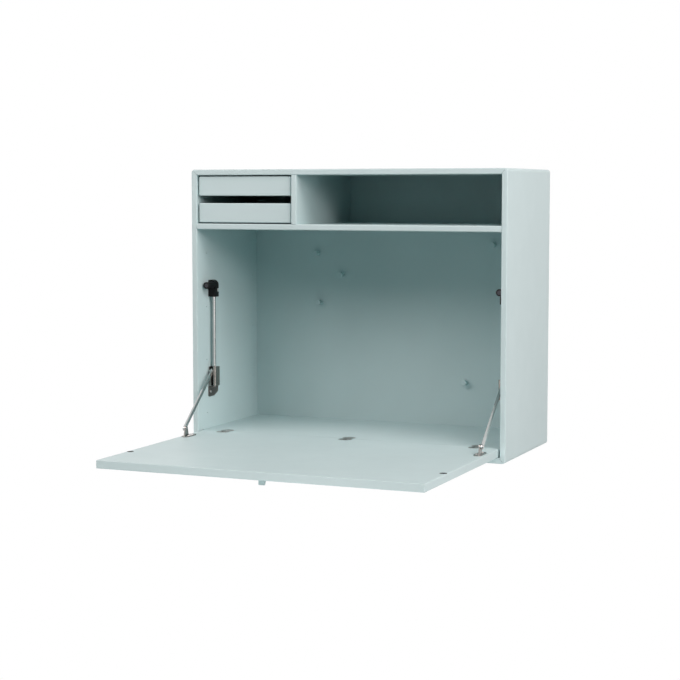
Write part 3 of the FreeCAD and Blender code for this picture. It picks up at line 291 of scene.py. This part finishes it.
for name, look in lamps.items():
    addLamp(name, look)


def seenDirectly(tree):  # 1 for camera, mirror and glass rays, which see plain white
    path = addNode(tree, "ShaderNodeLightPath")
    both = {0: path.outputs["Is Camera Ray"], 1: path.outputs["Is Glossy Ray"]}
    first = addNode(tree, "ShaderNodeMath", both, operation="MAXIMUM")
    both = {0: first.outputs[0], 1: path.outputs["Is Transmission Ray"]}
    return addNode(tree, "ShaderNodeMath", both, operation="MAXIMUM").outputs[0]


world = bpy.data.worlds.new("studio")
bpy.context.scene.world = world
world.use_nodes = True
tree = world.node_tree
tree.nodes.clear()
white = (1, 1, 1, 1)
backdrop = addNode(tree, "ShaderNodeBackground", {"Color": white, "Strength": seenDirectly(tree)})
addNode(tree, "ShaderNodeOutputWorld", {"Surface": backdrop.outputs[0]})

bm = bmesh.new()
bmesh.ops.create_grid(bm, x_segments=1, y_segments=1, size=studio["floorSize"] / 2)
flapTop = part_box("flap_board")[1].z
bmesh.ops.translate(bm, verts=bm.verts, vec=(0, -studio["floorSize"] / 2, flapTop - studio["floorDrop"]))
floorMesh = bpy.data.meshes.new("floor")
bm.to_mesh(floorMesh)
bm.free()
floor = bpy.data.objects.new("floor", floorMesh)
bpy.context.scene.collection.objects.link(floor)
paint = startMaterial("paintedFloor", studio["floorColour"], studio["floorRoughness"])[0]
floorMesh.materials.append(paint)
floor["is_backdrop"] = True
print("studio ready")


# Small hardware that the frame holds in plain form or leaves out
sharpAngle = radians(32)
mergeDistance = 0.001 * mm


def finishMesh(bm, name, body, slot, replaced=(), finish=None):
    bmesh.ops.recalc_face_normals(bm, faces=bm.faces)
    mesh = bpy.data.meshes.new(name)
    bm.to_mesh(mesh)
    bm.free()
    mesh.polygons.foreach_set("use_smooth", [True] * len(mesh.polygons))
    mesh.set_sharp_from_angle(angle=sharpAngle)
    mesh.materials.append(finish or finishes[slot])
    piece = bpy.data.objects.new(name, mesh)
    bpy.context.scene.collection.objects.link(piece)
    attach(piece, body)
    if replaced:
        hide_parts(*replaced)


def solidBoxes(name):  # lowest and highest corner of each separate solid in a node
    bm = bmesh.new()
    bm.from_mesh(nodes[name].data)
    bmesh.ops.remove_doubles(bm, verts=bm.verts, dist=mergeDistance)
    waiting, boxes = set(bm.verts), []
    while waiting:
        island, edge = set(), {waiting.pop()}
        while edge:
            island |= edge
            edge = {e.other_vert(v) for v in edge for e in v.link_edges} - island
        waiting -= island
        low = Vector([min(v.co[axis] for v in island) for axis in range(3)])
        high = Vector([max(v.co[axis] for v in island) for axis in range(3)])
        boxes.append((low, high))
    bm.free()
    return boxes


def newRing(bm, edges, radius, level, before):  # extrudes a ring of edges to a new size and level
    made = bmesh.ops.extrude_edge_only(bm, edges=edges)["geom"]
    verts = [item for item in made if isinstance(item, bmesh.types.BMVert)]
    share = radius / before[0]
    bmesh.ops.scale(bm, verts=verts, vec=(share, share, 1))
    bmesh.ops.translate(bm, verts=verts, vec=(0, 0, level - before[1]))
    return [item for item in made if isinstance(item, bmesh.types.BMEdge)], (radius, level)


def crossOutline(bm, arm, half, level):  # the twelve-cornered mouth of a cross recess
    corners = []
    for quarter in range(4):
        turn = Matrix.Rotation(quarter * pi / 2, 3, "Z")
        for x, y in ((arm, -half), (arm, half), (half, half)):
            corners.append(bm.verts.new(turn @ Vector((x, y, 0)) + Vector((0, 0, level))))
    return [bm.edges.new((corners[i - 1], corners[i])) for i in range(len(corners))]


def crossScrew(look, length):  # stands along Z with its seat at 0 and its tip at minus length
    bm = bmesh.new()
    at = look["crown"][0]
    ring = bmesh.ops.create_circle(bm, segments=look["segments"], radius=at[0])["verts"]
    bmesh.ops.translate(bm, verts=ring, vec=(0, 0, at[1]))
    rim = list(bm.edges)
    mouth = crossOutline(bm, look["arm"], look["half"], at[1])
    bmesh.ops.triangle_fill(bm, edges=rim + mouth, use_beauty=True, normal=(0, 0, 1))
    deep = bmesh.ops.extrude_edge_only(bm, edges=mouth)["geom"]
    verts = [item for item in deep if isinstance(item, bmesh.types.BMVert)]
    bmesh.ops.scale(bm, verts=verts, vec=(look["taper"], look["taper"], 1))
    bmesh.ops.translate(bm, verts=verts, vec=(0, 0, -look["depth"]))
    edges = [item for item in deep if isinstance(item, bmesh.types.BMEdge)]
    bmesh.ops.triangle_fill(bm, edges=edges, use_beauty=True, normal=(0, 0, 1))
    shank = look["shank"]
    tail = [(shank, 0), (shank, look["tip"] - length), (shank * look["point"], -length)]
    for radius, level in look["crown"][1:] + tail:
        rim, at = newRing(bm, rim, radius, level, at)
    bmesh.ops.triangle_fill(bm, edges=rim, use_beauty=True, normal=(0, 0, -1))
    mesh = bpy.data.meshes.new("crossScrew")
    bmesh.ops.recalc_face_normals(bm, faces=bm.faces)
    bm.to_mesh(mesh)
    bm.free()
    return mesh


def gather(placed):  # joins (mesh, matrix) pairs in one bmesh
    bm = bmesh.new()
    for mesh, matrix in placed:
        mesh.transform(matrix)
        bm.from_mesh(mesh)
        bpy.data.meshes.remove(mesh)
    return bm


panScrew = {
    "segments": 40,
    "crown": [
        (2.2 * mm, 2.2 * mm),
        (2.6 * mm, 2.1 * mm),
        (2.9 * mm, 1.85 * mm),
        (3.05 * mm, 1.5 * mm),
        (3.1 * mm, 1.1 * mm),
        (3.1 * mm, 0),
    ],
    "arm": 1.6 * mm,
    "half": 0.38 * mm,
    "taper": 0.55,
    "depth": 1.3 * mm,
    "shank": 1.5 * mm,
    "tip": 0.6 * mm,
    "point": 0.6,  # the tip's width as a share of the shank's
}
headHeight = panScrew["crown"][0][1]
placed = []
for low, high in solidBoxes("stay_screws"):
    middle = (low + high) / 2
    side = 1 if middle.x < 0 else -1  # the heads look into the cabinet
    seat = (high.x if side > 0 else low.x) - side * headHeight
    length = high.x - low.x - headHeight
    turn = Matrix.Rotation(side * pi / 2, 4, "Y")
    placed.append((crossScrew(panScrew, length), Matrix.Translation((seat, middle.y, middle.z)) @ turn))
finishMesh(gather(placed), "stayScrews", "cabinet", "screw_steel", ["stay_screws"])

placed = []
for low, high in solidBoxes("wall_plate_screws"):
    middle = (low + high) / 2
    length = high.y - low.y - headHeight
    seat = (middle.x, low.y + headHeight, middle.z)
    turn = Matrix.Rotation(pi / 2, 4, "X")
    placed.append((crossScrew(panScrew, length), Matrix.Translation(seat) @ turn))
finishMesh(gather(placed), "wallPlateScrews", "cabinet", "screw_steel", ["wall_plate_screws"])

# Raised countersunk screws hold each foot: one on the plate's rear end and one beside the ear
footScrew = {
    "segments": 36,
    "crown": [
        (1.9 * mm, 1.1 * mm),
        (2.4 * mm, 0.85 * mm),
        (2.8 * mm, 0.45 * mm),
        (2.95 * mm, 0),
    ],
    "arm": 1.45 * mm,
    "half": 0.36 * mm,
    "taper": 0.55,
    "depth": 1.0 * mm,
    "shank": 1.5 * mm,
    "tip": 0.4 * mm,
    "point": 0.6,
    "length": 1.8 * mm,
    "fromRear": 8 * mm,
    "besideFromRear": 32 * mm,
    "besideFromEdge": 4.3 * mm,
    "plate": 2 * mm,  # thickness of the foot's plate
}
plateTop = flapTop + footScrew["plate"]
placed = []
for side, name in ((1, "stay_foot_left"), (-1, "stay_foot_right")):
    low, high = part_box(name)
    inner = high.x if side > 0 else low.x
    spots = [
        ((low.x + high.x) / 2, high.y - footScrew["fromRear"]),
        (inner - side * footScrew["besideFromEdge"], high.y - footScrew["besideFromRear"]),
    ]
    for x, y in spots:
        placed.append((crossScrew(footScrew, footScrew["length"]), Matrix.Translation((x, y, plateTop))))
finishMesh(gather(placed), "footScrews", "flap", "screw_steel")

# Each hinge cup in the cabinet floor is held by one countersunk screw at its middle
cupScrew = {
    "segments": 36,
    "crown": [
        (2.0 * mm, 0.35 * mm),
        (2.4 * mm, 0.25 * mm),
        (2.5 * mm, 0),
    ],
    "arm": 1.3 * mm,
    "half": 0.33 * mm,
    "taper": 0.55,
    "depth": 0.9 * mm,
    "shank": 1.4 * mm,
    "tip": 0.4 * mm,
    "point": 0.6,
    "length": 1.6 * mm,
    "cupRadius": 14 * mm,
}
placed = []
for low, high in solidBoxes("hinge_floor_halves"):
    spot = ((low.x + high.x) / 2, high.y - cupScrew["cupRadius"], high.z)
    placed.append((crossScrew(cupScrew, cupScrew["length"]), Matrix.Translation(spot)))
finishMesh(gather(placed), "cupScrews", "cabinet", "screw_steel")
print("screws ready")

# The cabinet's boards are mitred, and where two meet at the front the lacquer shows a hairline: a thin
# strip lies on each joint, and its dark colour is painted shade of the joint's groove
seam = {
    "outerRadius": 7 * mm,
    "edgeRadius": 2 * mm,
    "board": 12 * mm,
    "width": 0.5 * mm,
    "proud": 0.03 * mm,
    "steps": 48,
    # painted shade: the dark of the shadow inside the joint's groove
    "shade": "#5f7678",
    "roughness": 0.6,
}


def seamOutline(look):  # across the front edge: distance in from the corner, and depth
    start = look["outerRadius"] * (1 - cos(pi / 4))
    points = []
    for step in range(look["steps"] + 1):
        inward = start + (look["board"] - start) * step / look["steps"]
        fromOuter = look["outerRadius"] - max(look["outerRadius"] - inward, 0) * sqrt(2)
        near = max(min(look["edgeRadius"], fromOuter, look["board"] - inward), 0)
        fall = look["edgeRadius"] - sqrt(look["edgeRadius"] ** 2 - (look["edgeRadius"] - near) ** 2)
        points.append((inward, fall - look["proud"]))
    return points + [(look["board"], look["edgeRadius"]), (start, look["edgeRadius"])]


bm = bmesh.new()
topHigh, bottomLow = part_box("top_panel")[1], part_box("bottom_panel")[0]
for sideways in (-1, 1):
    for upward, level in ((1, topHigh.z), (-1, bottomLow.z)):
        corner = Vector((sideways * topHigh.x, bottomLow.y, level))
        across = Vector((sideways, 0, -upward)).normalized() * seam["width"]
        verts = []
        for inward, depth in seamOutline(seam):
            step = Vector((-sideways * inward, depth, -upward * inward))
            verts.append(bm.verts.new(corner + step - across / 2))
        made = bmesh.ops.extrude_face_region(bm, geom=[bm.faces.new(verts)], use_keep_orig=True)["geom"]
        far = [item for item in made if isinstance(item, bmesh.types.BMVert)]
        bmesh.ops.translate(bm, verts=far, vec=across)
# The hairline strip's material is a flat painted shade standing in for the groove's shadow
seamPaintedShade = startMaterial("hairlinePaintedShade", seam["shade"], seam["roughness"])[0]
finishMesh(bm, "mitreHairlines", "cabinet", "lacquered_board", finish=seamPaintedShade)
print("hairlines ready")

low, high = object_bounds()
